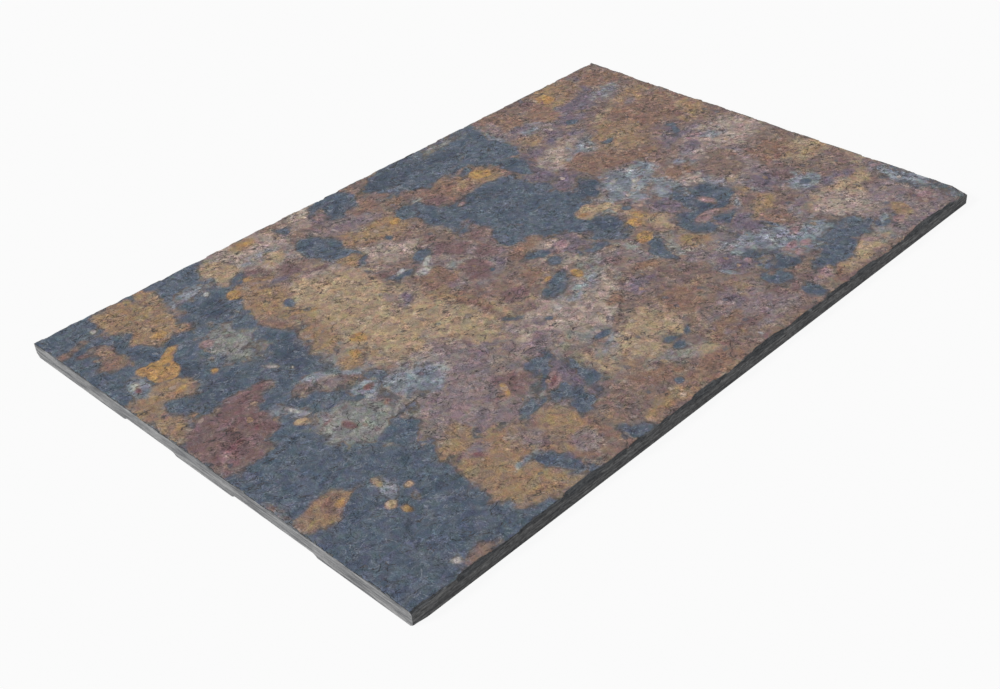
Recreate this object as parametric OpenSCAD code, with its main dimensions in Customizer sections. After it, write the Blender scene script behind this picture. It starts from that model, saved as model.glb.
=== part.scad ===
// Riven slate tile: one slab of stone, sawn to a rectangle and gauged flat underneath.
// The upper face is split along the cleavage, so it lies in shallow terraces and flake scars.
// The sawn arrises have spalled, most of all along the front, and three corners are broken.
// Origin: centre of the bed face. X runs along the length, Y along the width, Z up.

/* [Slab] */
// Length of the sawn slab
tile_length = 600; // [300:10:900]
// Width of the sawn slab
tile_width = 400; // [200:10:600]
// Thickness from the bed face to the highest cleavage plane
tile_thickness = 11.5; // [8:0.5:20]

/* [Cleft face] */
// Length of the longest terrace, measured down its dip
terrace_length = 180; // [80:5:240]
// Height of the tallest cleavage step
terrace_step = 1.2; // [0.4:0.1:2]
// Distance between neighbouring flake scars
flake_spacing = 74; // [60:2:150]
// Length of the largest flake scar
flake_length = 42; // [15:1:60]
// Depth of the deepest flake scar
flake_depth = 0.6; // [0.2:0.1:1]
// How far an outline strays from a smooth oval
raggedness = 0.3; // [0.1:0.05:0.4]

/* [Front arris] */
// Mean distance between the spalls
spall_spacing = 17; // [10:1:40]
// Length of the longest spall
spall_length = 30; // [10:1:45]
// How far the largest spall reaches in over the face
spall_reach = 2.6; // [1:0.2:6]
// How far the largest spall drops down the sawn edge
spall_drop = 3.6; // [1:0.2:6]
// How far the deep breaks reach in over the face
break_reach = 3.4; // [2:0.2:8]

/* [Other arrises] */
// Mean distance between the nibbles
nibble_spacing = 27; // [15:1:60]
// Length of the longest nibble
nibble_length = 22; // [8:1:30]
// How far the largest nibble reaches in over the face
nibble_reach = 1.1; // [0.5:0.1:3]
// How far the largest nibble drops down the sawn edge
nibble_drop = 1.7; // [0.5:0.1:3]
// How far the spalls under the left end reach in over the bed
bed_spall_reach = 4.5; // [2:0.5:8]
// How far the spalls under the left end rise up the sawn edge
bed_spall_rise = 1.8; // [0.6:0.2:3]

/* [Corners] */
// Broken right-hand corner: along the front edge
right_break_x = 30; // [10:1:50]
// Broken right-hand corner: along the right end
right_break_y = 15; // [8:1:40]
// Broken right-hand corner: down the edge
right_break_drop = 3.5; // [2:0.5:7]
// Chipped lower front corner: along the front edge
front_chip_x = 11; // [4:1:20]
// Chipped lower front corner: along the left end
front_chip_y = 2.2; // [1:0.2:6]
// Chipped lower front corner: up the edge
front_chip_rise = 1.6; // [0.6:0.2:4]
// Chipped lower left corner: along each edge
left_chip = 3; // [1:0.5:10]
// Chipped lower left corner: up the edge
left_chip_rise = 2.6; // [0.6:0.2:5]

/* [Hidden] */

slate_colour = [0.44, 0.40, 0.38];
half_length = tile_length / 2;
half_width = tile_width / 2;

// Height that every cutter stands above the surface it cuts
cutter_height = 4 * tile_thickness;
// How far a spall's outline stands out past the sawn edge
outline_margin = 2;

terrace_points = 34;
flake_points = 13;
spall_points = 6;
// Smallest flake or spall, as a share of the largest
smallest = 0.35;
// Largest turn of a spall's floor out of line with its arris, in degrees
spall_skew = 7;
// Steps of a two-way sequence that spreads the flakes evenly without rows
spread = [0.7549, 0.5698];
seed_outline = 11;
seed_flakes = 23;
seed_spalls = 37;
seed_nibbles = 53;

// Terraces of the cleft face. Each row holds the place as shares of the half length and half width,
// the length down the dip and the breadth as shares of terrace_length, the bearing of the dip
// and the step at its foot as a share of terrace_step.
terraces = [
    [-0.28, 0.78, 0.42, 0.70, -104, 0.75],
    [-0.04, 0.92, 0.36, 0.44, -94, 0.55],
    [0.46, 0.90, 0.34, 0.60, -86, 0.50],
    [0.58, 0.38, 0.62, 0.60, -122, 0.90],
    [0.86, 0.62, 0.55, 0.75, 20, 0.70],
    [0.24, 0.34, 0.62, 0.50, 165, 0.60],
    [-0.72, 0.66, 0.50, 0.55, -150, 0.65],
    [-0.82, -0.20, 0.45, 0.60, 75, 0.60],
    [-0.62, -0.78, 0.80, 0.66, 190, 0.80],
    [-0.36, -0.22, 0.75, 0.62, 28, 0.70],
    [-0.10, -0.72, 1.00, 0.52, 40, 1.00],
    [0.34, -0.36, 0.70, 0.60, -60, 0.85],
    [0.52, -0.82, 0.62, 0.70, -35, 0.75],
    [0.88, -0.52, 0.60, 0.55, 128, 0.80],
    [0.08, -0.04, 0.50, 0.42, -15, 0.50],
];

// Deep breaks in the front arris, as shares of the half length, with a length each
front_breaks = [
    [-0.84, 26],
    [-0.53, 34],
    [-0.12, 30],
    [0.11, 38],
    [0.52, 26],
    [0.80, 44],
];

// Spalls under the left end, as shares of the half width counted from the front, with a length each
bed_spalls = [
    [-0.37, 84],
    [0.29, 60],
];

// Fraction of a number, between 0 and 1
function fraction(value) = value - floor(value);

// A value between the smallest share and the whole of a size
function sized(whole, chance) = whole * (smallest + (1 - smallest) * chance);

// Oval outline with a wavering, jagged rim, longest along X
function ragged_outline(length, breadth, points, seed) =
    let (jags = rands(-0.5, 0.5, points, seed), turns = rands(0, 360, 3, seed + 1))
    [
        for (i = [0 : points - 1])
            let (
                angle = 360 * i / points,
                bays = sin(2 * angle + turns[0]) + sin(3 * angle + turns[1]) + sin(7 * angle + turns[2]),
                rim = (1 + raggedness * (bays / 2 + jags[i])) / 2
            )
            [length * rim * cos(angle), breadth * rim * sin(angle)]
    ];

// Outline of a spall that bites in from the edge at y = 0 up to about the given reach
function spall_outline(length, reach, seed) =
    let (jags = rands(1 - raggedness, 1 + raggedness, spall_points, seed))
    concat(
        [[-length / 2, -outline_margin], [length / 2, -outline_margin]],
        [
            for (i = [0 : spall_points - 1])
                let (angle = 180 * (i + 0.5) / spall_points)
                [length / 2 * cos(angle), reach * jags[i] * pow(sin(angle), 0.5)]
        ]
    );

// Takes away all that stands upright on an outline above a tilted floor through the origin
module cut_above_floor(outline, tilt, length) {
    intersection() {
        linear_extrude(height = cutter_height, center = true)
            polygon(outline);
        rotate(tilt)
            translate([-length, -length, 0])
                cube([2 * length, 2 * length, cutter_height]);
    }
}

// Cuts a sloping sheet out of the cleft face, from nothing at its head to a step at its foot
module cleavage_cut(place, length, breadth, bearing, step, points, seed) {
    translate([place.x, place.y, tile_thickness - step / 2])
        rotate([0, 0, bearing])
            cut_above_floor(
                outline = ragged_outline(length, breadth, points, seed),
                tilt = [0, atan2(step, length), 0],
                length = 2 * max(length, breadth)
            );
}

// The broad terraces that give the face its main steps
module terrace_cuts() {
    for (i = [0 : len(terraces) - 1]) {
        row = terraces[i];
        cleavage_cut(
            place = [row[0] * half_length, row[1] * half_width],
            length = row[2] * terrace_length,
            breadth = row[3] * terrace_length,
            bearing = row[4],
            step = row[5] * terrace_step,
            points = terrace_points,
            seed = seed_outline + 10 * i
        );
    }
}

// Small flake scars spread over the whole face
module flake_cuts() {
    count = floor(tile_length * tile_width / pow(flake_spacing, 2));
    chance = rands(0, 1, 4 * count, seed_flakes);
    for (i = [0 : count - 1]) {
        length = sized(flake_length, chance[4 * i]);
        cleavage_cut(
            place = [
                tile_length * (fraction(i * spread.x + 0.5) - 0.5),
                tile_width * (fraction(i * spread.y + 0.5) - 0.5)
            ],
            length = length,
            breadth = sized(length, chance[4 * i + 1]),
            bearing = 360 * chance[4 * i + 2],
            step = sized(flake_depth, chance[4 * i + 3]),
            points = flake_points,
            seed = seed_flakes + 10 * i
        );
    }
}

// One spall on an arris along X: the sawn edge is at y = 0, the face at z = 0, the stone inside
module spall_cut(along, length, reach, drop, skew, seed) {
    translate([along, 0, -drop])
        rotate([0, 0, skew])
            cut_above_floor(
                outline = spall_outline(length, reach, seed),
                tilt = [atan2(drop, reach), 0, 0],
                length = 2 * (length + reach + drop)
            );
}

// A row of spalls of mixed sizes along an arris of the given run
module spall_row(run, spacing, length, reach, drop, seed) {
    count = floor(run / spacing);
    chance = rands(0, 1, 5 * count, seed);
    for (i = [0 : count - 1])
        spall_cut(
            along = run * ((i + chance[5 * i]) / count - 0.5),
            length = sized(length, chance[5 * i + 1]),
            reach = sized(reach, chance[5 * i + 2]),
            drop = sized(drop, chance[5 * i + 3]),
            skew = spall_skew * (2 * chance[5 * i + 4] - 1),
            seed = seed + 10 * i
        );
}

// Puts an arris along X onto the side of the slab that the turn names, at the upper face
module on_side(turn, distance) {
    rotate([0, 0, turn])
        translate([0, -distance, tile_thickness])
            children();
}

// Spalls along the front, and lighter nibbles along the other three sides
module arris_cuts() {
    on_side(0, half_width) {
        spall_row(tile_length, spall_spacing, spall_length, spall_reach, spall_drop, seed_spalls);
        for (i = [0 : len(front_breaks) - 1])
            spall_cut(
                along = front_breaks[i][0] * half_length,
                length = front_breaks[i][1],
                reach = break_reach,
                drop = spall_drop,
                skew = 0,
                seed = seed_spalls + i
            );
    }
    on_side(90, half_length)
        spall_row(tile_width, nibble_spacing, nibble_length, nibble_reach, nibble_drop, seed_nibbles);
    on_side(180, half_width)
        spall_row(tile_length, nibble_spacing, nibble_length, nibble_reach, nibble_drop, seed_nibbles + 1);
    on_side(270, half_length)
        spall_row(tile_width, nibble_spacing, nibble_length, nibble_reach, nibble_drop, seed_nibbles + 2);
}

// Spalls on the lower arris of the left end
module bed_cuts() {
    translate([-half_length, 0, 0])
        mirror([0, 0, 1])
            rotate([0, 0, -90])
                for (i = [0 : len(bed_spalls) - 1])
                    spall_cut(
                        along = -bed_spalls[i][0] * half_width,
                        length = bed_spalls[i][1],
                        reach = bed_spall_reach,
                        drop = bed_spall_rise,
                        skew = 0,
                        seed = seed_nibbles + 5 + i
                    );
}

// Slices off an upper corner of the slab along a plane through the three named distances
module corner_cut(side_x, side_y, along_x, along_y, drop) {
    normal = [side_x / along_x, side_y / along_y, 1 / drop];
    reach = 4 * max(along_x, along_y, drop);
    translate([side_x * half_length, side_y * half_width, -drop])
        rotate(a = acos(normal.z / norm(normal)), v = cross([0, 0, 1], normal))
            linear_extrude(height = cutter_height)
                square(reach, center = true);
}

// The broken right-hand corner above, and the chipped front and left corners below
module corner_cuts() {
    translate([0, 0, tile_thickness])
        corner_cut(1, -1, right_break_x, right_break_y, right_break_drop);
    mirror([0, 0, 1]) {
        corner_cut(-1, -1, front_chip_x, front_chip_y, front_chip_rise);
        corner_cut(-1, 1, left_chip, left_chip, left_chip_rise);
    }
}

// The whole tile, cut out of its sawn slab
module slate_tile() {
    color(slate_colour)
        difference() {
            translate([-half_length, -half_width, 0])
                cube([tile_length, tile_width, tile_thickness]);
            terrace_cuts();
            flake_cuts();
            arris_cuts();
            bed_cuts();
            corner_cuts();
        }
}

slate_tile();
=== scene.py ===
"""Looks of a riven slate tile: cleft stained face, sawn and spalled edges, gauged bed, on a white studio floor."""

import math

import bpy
import numpy as np
from bpy.props import FloatProperty, FloatVectorProperty, IntProperty, PointerProperty
from bpy.types import Operator, Panel, PropertyGroup
from mathutils import Matrix, Vector


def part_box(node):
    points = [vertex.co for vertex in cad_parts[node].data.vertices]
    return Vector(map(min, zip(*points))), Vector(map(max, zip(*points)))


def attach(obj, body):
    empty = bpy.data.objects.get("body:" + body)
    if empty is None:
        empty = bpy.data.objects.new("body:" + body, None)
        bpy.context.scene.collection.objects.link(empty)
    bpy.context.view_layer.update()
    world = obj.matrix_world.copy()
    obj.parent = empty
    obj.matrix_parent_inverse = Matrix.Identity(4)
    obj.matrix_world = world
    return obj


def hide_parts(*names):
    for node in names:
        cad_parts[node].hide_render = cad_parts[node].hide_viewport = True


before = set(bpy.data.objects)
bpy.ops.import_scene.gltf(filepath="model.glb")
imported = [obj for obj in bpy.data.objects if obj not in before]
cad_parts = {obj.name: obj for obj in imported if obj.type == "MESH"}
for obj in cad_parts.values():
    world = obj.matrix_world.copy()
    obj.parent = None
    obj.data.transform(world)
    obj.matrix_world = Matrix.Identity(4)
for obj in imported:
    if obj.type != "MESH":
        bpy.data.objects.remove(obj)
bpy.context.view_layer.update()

bl_info = {
    "name": "Riven slate tile",
    "version": (1, 0, 0),
    "blender": (4, 5, 0),
    "location": "View3D > Sidebar > Slate",
    "description": "Builds the stained, riven stone of a slate tile and its studio",
    "category": "Add Mesh",
}

NODE = "slate_tile"
BODY = "root"
PIECE = "slate_stone"
MM = 0.001

# Corners of the tile in its frame, in metres
TILE_LOW, TILE_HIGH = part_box(NODE)

# Parts of the skin, as numbered on its faces
RIVEN, SAWN, BED = 0, 1, 2

# Rings of faces between the edge and the middle of the bed, and how far in the first lies, in metres
BED_RINGS = 3
BED_RING_INSET = 1.2 * MM

# Edges of the skin that are steeper than this are shaded sharp
SHARP_ANGLE = math.radians(48)

# Room between the tile and the floor, and distance of the lamp, in metres
FLOOR_GAP = 0.2 * MM
LAMP_DISTANCE = 3.0

# How far a stain's field is followed inside its outline, and outside it for bare stone, scarce spots
# and earthy stains, in millimetres. Earthy stains mix into one another but keep clear of clean stone.
INNER_REACH = 4.5
BARE_REACH = 8.0
SCARCE_REACH = 10.0
EARTHY_REACH = 4.0
BARE = {"slate", "ink", "ash", "sage", "violet"}
SCARCE = {"gold", "plum", "wine", "rose", "chalk"}
CLEAN = {"slate", "ink", "ash", "sage"}

# Clean stone lies lower than a stained layer, which ends over this width in millimetres
CRUST_WIDTH = 3

# Blooms that fade out more softly than the other stains
SOFT = {"ash": 0.5, "sage": 0.42, "violet": 0.55, "rose": 0.65}

# Waves that push the outlines of the stains about: their size and their push, in millimetres
WANDERING = ((34, 7), (12, 4), (5, 1.5))

# Factors of the sine hash that the waves are made from: column, row, seed and spread
HASH = (127.1, 311.7, 74.7, 43758.5453)

# Wandering edges of the stains in the shader: waves in a millimetre, reach in millimetres, and sharpness
EDGE_SCALE = 0.08
EDGE_REACH = 17.0
EDGE_SHARPNESS = 0.7

# Contrast of the grain in smooth and in rough places, the power that thins it out, and its darkest tone
GRAIN_CONTRAST = (7.0, 13.2)
GRAIN_POWER = 1.35
GRAIN_DARKEST = 0.25

# How much the roughness grows with every millimetre to the right and to the back
ROUGHER_RIGHT = 0.0004
ROUGHER_BACK = 0.0003

# Cleavage steps in the full range of their wave, and creases in that of the grain's folds
STEP_COUNT = 9.0
FOLD_COUNT = 11.0

# Cells in a millimetre that may each hold a fleck
FLECK_SCALE = 0.085

# Share of lost stone at which the face gives way to broken slate
SPALL_EDGE = (0.35, 0.65)

# Stains on the cleft face, painted in order over bare slate. Each row is an oval in millimetres from
# the centre of the tile: x, y, half length, half breadth, and its turn in degrees if it has one.
GROUNDS = (
    ("umber", (
        (85, 0, 250, 420), (-75, -172, 36, 40),
    )),
    ("sand", (
        (-95, -60, 80, 50, -12), (-60, 95, 32, 14, -12), (-20, -78, 52, 24, 10), (-65, 190, 20, 16),
        (134, 92, 30, 13, 15), (30, -15, 30, 20, 20), (250, 8, 56, 24, 5), (-128, 182, 34, 22),
        (-112, 154, 24, 14), (-110, 105, 26, 18),
    )),
    ("mauve", (
        (-145, -88, 46, 30), (-105, -50, 40, 26), (215, -28, 44, 34), (254, -170, 46, 36), (-78, -92, 26, 18, 20),
        (60, -165, 40, 24), (-50, 152, 30, 14), (-30, 40, 38, 34), (186, 148, 34, 14, 40), (110, -95, 22, 24),
    )),
    ("tan", (
        (-125, 40, 46, 56), (-118, 76, 40, 30, -20), (-88, 5, 24, 60), (-20, -126, 44, 18, 8),
        (266, -112, 30, 18, 10), (276, -70, 22, 28), (-60, -30, 26, 16), (220, 105, 20, 16, 30),
    )),
    ("rust", (
        (-130, -158, 26, 30), (165, 62, 52, 15), (150, 178, 24, 20), (40, 126, 26, 22), (270, 174, 32, 22),
        (255, 92, 52, 30), (180, 0, 24, 14, 10), (-15, -185, 30, 14), (5, 150, 20, 10), (265, -40, 26, 14, 20),
    )),
    ("ochre", (
        (-233, 168, 20, 36, 10), (-172, -160, 30, 46), (-182, -120, 14, 22, -20), (-280, 72, 24, 20),
        (-290, 38, 11, 30, 8), (-155, 122, 18, 26), (-157, 88, 14, 28), (-36, 122, 32, 17), (206, 80, 26, 24),
        (226, 182, 26, 15),
    )),
)
PATCHES = (
    ("slate", (
        (68, 68, 51, 44, -10), (60, 180, 66, 28), (116, 165, 21, 46), (-36, 184, 22, 22), (-84, 144, 15, 22, 15),
        (6, 108, 12, 34), (72, -8, 26, 22, -15), (64, 20, 36, 20), (157, -40, 38, 29, 10),
        (-86, -118, 17, 34, 12), (-124, -121, 17, 9), (8, 76, 10, 5), (-155, -178, 9, 17, 28),
        (-103, -190, 9, 12), (172, -150, 34, 20, -25), (190, -164, 26, 10, -10), (122, -132, 16, 14),
        (291, -155, 11, 34), (-12, -42, 21, 9, 10), (13, -2, 14, 6, -12), (220, -170, 12, 7, -20),
        (150, -98, 22, 16, -30), (78, -72, 7, 18, -10), (-42, 72, 9, 8, 20), (-72, 65, 9, 8),
        (-230, 118, 22, 14, 20), (15, -19, 9, 8), (-92, -142, 10, 14), (-85, 185, 9, 7), (-58, -43, 9, 5, -45),
        (-8, -147, 11, 5, 25), (88, -60, 7, 18), (106, -185, 8, 14), (-174, 130, 8, 30), (-178, 48, 12, 40),
        (-192, 180, 15, 20), (-152, -42, 17, 19), (-168, -22, 14, 18), (102, 142, 18, 20), (292, -192, 10, 8),
        (52, 159, 50, 11), (22, 94, 16, 14),
    )),
    ("violet", (
        (46, -12, 17, 12, 20), (-88, -125, 12, 20, 12), (216, -66, 20, 12, -10), (150, -96, 14, 22),
        (228, 151, 28, 15, 10), (196, 138, 20, 11, -20), (258, 178, 6, 18, -25), (129, -32, 10, 22),
        (108, -120, 24, 14), (160, 118, 16, 7, 30), (178, 110, 10, 7, 20), (106, 98, 13, 20),
        (112, 60, 16, 12, -30), (150, 157, 14, 9), (62, -150, 9, 6, 20), (-72, -80, 9, 6), (-48, -62, 9, 5),
        (34, -90, 14, 10), (222, 44, 24, 6, 10), (-52, 178, 6, 8), (-132, 128, 10, 8), (192, -14, 10, 5),
        (-12, 18, 8, 6), (130, 112, 12, 8),
    )),
    ("ink", (
        (113, 38, 16, 16), (125, -150, 15, 9), (-188, 140, 12, 14), (-255, 50, 20, 8), (75, -14, 16, 12),
        (120, -124, 12, 10), (-34, 178, 14, 12), (52, 95, 18, 10), (176, -36, 10, 12), (-245, 85, 12, 12),
        (-188, 45, 12, 22, 20), (18, 180, 22, 14), (150, -50, 8, 7), (82, 172, 20, 10),
    )),
    ("ash", (
        (160, -138, 34, 18, -20), (290, -150, 8, 24), (146, 24, 24, 19, 20), (168, 29, 9, 8),
        (124, 12, 14, 10, 30), (155, -6, 8, 18, 15), (-192, 168, 15, 7, 10), (-118, 166, 17, 8),
        (-178, -24, 12, 10), (-150, -42, 20, 21), (-182, 4, 22, 10, -10), (165, 88, 18, 9, 25),
        (264, 151, 16, 7, 12), (236, -90, 14, 13), (-228, -8, 5, 9, 20), (191, -33, 4, 16, 10), (180, 157, 12, 7),
        (-36, -113, 14, 5, 10), (150, -121, 42, 12, -15), (200, -112, 10, 7, 30), (158, 146, 7, 8),
        (198, 12, 9, 8), (254, 20, 9, 6, -15), (10, -54, 26, 6, 5), (130, -108, 16, 8, -20), (292, -196, 8, 5),
    )),
    ("slate", (
        (188, -160, 26, 10, -15),
    )),
    ("sage", (
        (-208, 88, 15, 26), (-207, -48, 29, 27, -8), (103, 4, 9, 12), (32, -42, 16, 8), (66, -50, 6, 16, 10),
        (205, -184, 12, 8), (-38, 40, 6, 9), (-168, 26, 10, 9), (-116, 160, 8, 5), (96, -76, 9, 14),
        (-26, -158, 16, 7), (92, 194, 12, 5), (-114, -114, 12, 4, 10), (-40, -96, 12, 7), (-36, -125, 12, 5),
        (250, 143, 8, 6),
    )),
    ("tan", (
        (224, -128, 24, 17, -20), (176, -187, 30, 8, 8), (86, 10, 13, 11), (86, 14, 9, 6), (250, -130, 10, 10),
        (-128, 100, 10, 14), (-4, -168, 10, 6), (205, -40, 10, 6),
    )),
    ("ochre", (
        (-246, 178, 11, 22, 10), (-234, 146, 14, 14), (-234, 195, 14, 6), (-282, 76, 18, 14), (-258, 74, 11, 11),
        (-269, -94, 8, 7, 8), (72, 126, 20, 14, -10), (216, 180, 16, 14, 40), (236, 178, 8, 13),
        (203, 84, 12, 13), (272, 126, 26, 12, 20), (290, 70, 12, 16), (-165, 46, 10, 20), (-162, 9, 12, 9),
        (-30, 128, 14, 8), (-68, 20, 8, 26, 8), (-34, -139, 14, 6), (-62, -190, 30, 7), (78, -145, 6, 10),
        (108, -28, 9, 16), (145, 133, 9, 9), (110, -80, 12, 12), (280, -64, 10, 6), (240, -172, 10, 10),
        (184, -88, 18, 8, 25), (-122, 190, 11, 9, 30), (-25, -150, 12, 7), (32, -178, 7, 7), (193, -60, 6, 9),
        (268, 55, 8, 8), (-182, -158, 19, 34),
    )),
    ("umber", (
        (-278, -98, 17, 12, 8), (-180, -8, 10, 6), (-206, 2, 9, 6), (-240, -196, 11, 6),
    )),
    ("rust", (
        (-286, 170, 12, 3, 10), (-270, 140, 8, 17), (-274, 130, 10, 6), (-172, 82, 6, 11), (150, 180, 18, 13),
        (165, 176, 8, 13), (150, 72, 32, 9, -6), (186, 46, 26, 8, -12), (14, 12, 16, 7, 10), (180, 0, 20, 11, 10),
        (5, -84, 6, 8, -45), (-15, -185, 22, 9), (-60, -10, 6, 22), (-180, -46, 3, 6, 20), (245, 76, 14, 9),
        (-18, 160, 12, 11, 20), (136, -190, 14, 4, 15), (195, 178, 9, 12), (175, -105, 9, 13), (275, 178, 20, 14),
        (-297, -75, 3, 6), (42, -168, 26, 10), (-45, -165, 18, 10), (40, -120, 24, 10, 10), (-10, -18, 12, 7),
        (86, 116, 8, 12, -20), (60, -70, 10, 8),
    )),
    ("plum", (
        (-272, 6, 33, 27), (-242, 27, 21, 11, 10), (-280, -12, 22, 12, 10), (-118, -97, 12, 9, 15),
        (-40, -24, 14, 10), (275, -180, 10, 13, 20), (-20, 64, 16, 12), (-118, 136, 14, 9, -25),
        (-142, 150, 12, 3, -20), (-106, 117, 10, 4, -25), (-34, 28, 12, 16), (26, 120, 10, 11), (-276, 158, 7, 4),
        (193, -94, 5, 5), (45, -176, 20, 6, 10), (192, 186, 8, 8), (98, -165, 14, 11), (-8, 40, 13, 12),
        (-74, 74, 7, 5), (8, 62, 8, 8),
    )),
    ("mauve", (
        (-178, -128, 10, 7, -30), (-190, -5, 12, 8), (-148, -145, 12, 9), (80, -93, 8, 6, 30),
        (185, -125, 14, 5, -20), (-130, -170, 12, 14), (-112, -142, 9, 12), (-48, 150, 8, 6), (142, 170, 7, 16),
        (-150, -110, 12, 8), (230, -40, 14, 8), (262, 115, 7, 5, 30),
    )),
)

# Stains that end up round the place given, whatever the wandering does there
TOUCHES = (
    ("slate", (
        (-82, 118, 11, 28), (21, 40, 14, 16), (52, -26, 15, 6), (-74, -124, 11, 22, 10), (-196, -77, 17, 10),
        (158, -172, 27, 12), (127, -62, 12, 20), (-6, 128, 10, 14), (75, 149, 22, 6), (106, 112, 12, 18),
        (104, -158, 10, 12), (-258, 150, 6, 16), (42, 32, 22, 12), (-246, -95, 9, 7), (-273, 56, 10, 9),
        (74, 138, 8, 8), (148, -75, 13, 7), (66, 6, 12, 14), (70, -18, 20, 9, -10), (76, -68, 7, 13),
        (-76, 138, 9, 14), (206, -160, 8, 14), (-243, 46, 14, 10), (-92, -120, 17, 24, -25), (-98, -146, 13, 9),
        (-80, -96, 14, 6, 35), (-126, -123, 16, 6, 25),
    )),
    ("ink", (
        (60, 178, 20, 10), (76, -13, 12, 7),
    )),
    ("violet", (
        (-82, -116, 8, 14, -25), (242, 40, 22, 8), (222, 17, 12, 8), (200, -108, 12, 10), (-90, 34, 10, 8),
        (258, -104, 22, 7),
    )),
    ("ash", (
        (128, 2, 12, 10), (150, -10, 9, 10),
    )),
    ("sage", (
        (-207, 90, 15, 26),
    )),
    ("sand", (
        (180, -14, 13, 8), (222, -132, 23, 20),
    )),
    ("tan", (
        (108, -42, 8, 15), (-116, 157, 14, 10), (-30, -140, 14, 8), (8, -138, 11, 10), (-156, 172, 14, 16),
        (-20, -126, 16, 9, 8),
    )),
    ("ochre", (
        (-214, 188, 9, 13), (-160, 110, 15, 30), (-170, 36, 8, 11), (-277, -98, 17, 13, 8),
        (214, 174, 18, 14, 30), (-122, -150, 17, 14), (81, 117, 12, 9), (-84, 108, 10, 8),
    )),
    ("umber", (
        (-44, -40, 11, 8), (272, -86, 25, 21), (215, -20, 22, 22),
    )),
    ("rust", (
        (-60, 35, 14, 14), (190, 162, 16, 18), (296, 128, 8, 14),
    )),
    ("mauve", (
        (50, -52, 18, 15, -20), (62, -170, 14, 10),
    )),
    ("plum", (
        (-113, -96, 14, 11), (-280, -20, 22, 9), (234, -71, 10, 8), (44, -50, 9, 7, -20),
    )),
)
DABS = (
    ("tan", (
        (81, 11, 9, 8), (100, 10, 10, 7), (106, -4, 7, 9),
    )),
    ("ash", (
        (236, -91, 14, 12), (-240, -113, 6, 12),
    )),
    ("rust", (
        (-270, -98, 9, 8),
    )),
    ("rose", (
        (-94, -116, 11, 6, 22),
    )),
    ("gold", (
        (97, -26, 7, 6), (84, -46, 8, 7), (80, 13, 6, 4), (-267, -100, 4, 4),
    )),
    ("slate", (
        (236, -91, 5, 5),
    )),
    ("wine", (
        (-94, -116, 7, 2.5, 22),
    )),
)
SPOTS = (
    ("tan", (
        (-247, -127, 4.5, 4), (-229, -120, 3.5, 3), (-243, -104, 2.5, 4.5), (-232, -20, 4.5, 4.5),
    )),
    ("ash", (
        (-283, 97, 8, 14, -10), (132, 168, 3, 14), (171, -71, 2, 6, -40), (88, -124, 2.5, 9, 25),
        (223, -167, 5, 3, 30), (-163, -159, 8, 2.5), (-177, -24, 9, 8), (-182, 157, 4, 4), (-251, -187, 4.5, 4.5),
        (-232, -131, 2, 3), (-295, -80, 2, 4),
    )),
    ("gold", (
        (-260, 100, 13, 15), (-246, 112, 12, 5, 35), (-268, 110, 7, 6), (-168, 140, 5, 5), (-149, 149, 3, 3),
        (-147, 25, 6, 5), (76, 126, 11, 8, -15), (-242, -136, 4, 3.5), (212, 179, 9, 9), (-262, 70, 6, 4),
        (-234, 140, 6, 5), (-122, 190, 5, 4), (-157, 12, 5, 4), (-235, 70, 2.5, 3.5, -30), (108, -20, 4, 6),
        (-123, -95, 2, 6, -30), (12, -42, 5, 6), (-8, -30, 5, 3), (-22, 124, 7, 4), (-145, 73, 4, 3),
    )),
    ("slate", (
        (-148, 95, 4, 6), (-42, 108, 3, 4), (-42, -180, 4, 4), (-10, -155, 5, 4), (8, -147, 8, 3, 25),
        (196, 130, 6, 5, -20), (-40, -63, 4, 3), (240, 47, 10, 3, 38), (247, 56, 5, 3, -35), (-33, -104, 8, 5),
        (-25, 15, 3, 3), (-190, -28, 4, 4), (188, 82, 7, 3), (112, -8, 4, 4), (-145, 148, 6, 2, -30),
        (-5, 142, 7, 1.6),
    )),
    ("rose", (
        (-220, 103, 5, 5), (240, 27, 11, 4, -10), (288, -121, 7, 4, 20), (145, -138, 8, 5), (155, -144, 6, 4),
        (142, -149, 5, 4), (109, -128, 4, 4), (160, -49, 4, 8), (-219, -26, 2, 4), (165, -127, 6, 4, 30),
        (130, -180, 11, 5, 10), (-283, -10, 7, 3, 20), (33, 100, 3, 3), (276, -178, 6, 8, 20), (35, -6, 8, 5, 30),
        (140, -65, 11, 5, 5), (-54, 176, 3, 6), (190, -180, 6, 5), (230, -178, 8, 5),
    )),
    ("chalk", (
        (-58, 54, 6, 4, 10), (-46, 62, 8, 3, 30), (-251, -187, 2.5, 2.5), (-209, 92, 1.8, 2.5), (-265, 178, 2, 2),
        (-186, 117, 1.8, 1.8), (-182, 157, 2.2, 2.2), (-70, 66, 5, 2, 20), (38, -191, 1.8, 1.8),
        (-226, -6, 1.6, 6, 15), (12, 135, 7, 1.4), (150, 18, 5, 2, 20), (-206, 46, 1.4, 5, 40),
        (-198, 35, 1.8, 1.8), (-284, 101, 3, 7, -10), (136, 28, 5, 3, 20), (140, 12, 4, 2, 10),
        (158, 36, 5, 2, -10),
    )),
    ("wine", (
        (-285, 94, 2.5, 4), (-222, -34, 7, 2, 35), (-215, -43, 2.5, 7, 15), (-177, -24, 4.5, 3.5, 15),
        (-184, -130, 2, 7, 40), (-190, -125, 5, 1.6, 25), (-255, -3, 2, 5, -20), (-178, -46, 1.8, 4, 20),
        (105, -150, 3, 2), (205, 175, 4, 1.8, 60), (-278, -9, 9, 3, 15),
    )),
)

# Layers of stains, how much of the wandering each takes, how fast its stains grow in from their outlines,
# and whether they are anchored to the places given
LAYERS = (
    (GROUNDS, 1.0, 0.5, False), (PATCHES, 0.8, 0.9, False), (TOUCHES, 0.8, 0.9, True),
    (DABS, 0.45, 2.4, True), (SPOTS, 0.45, 2.4, False),
)

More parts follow.
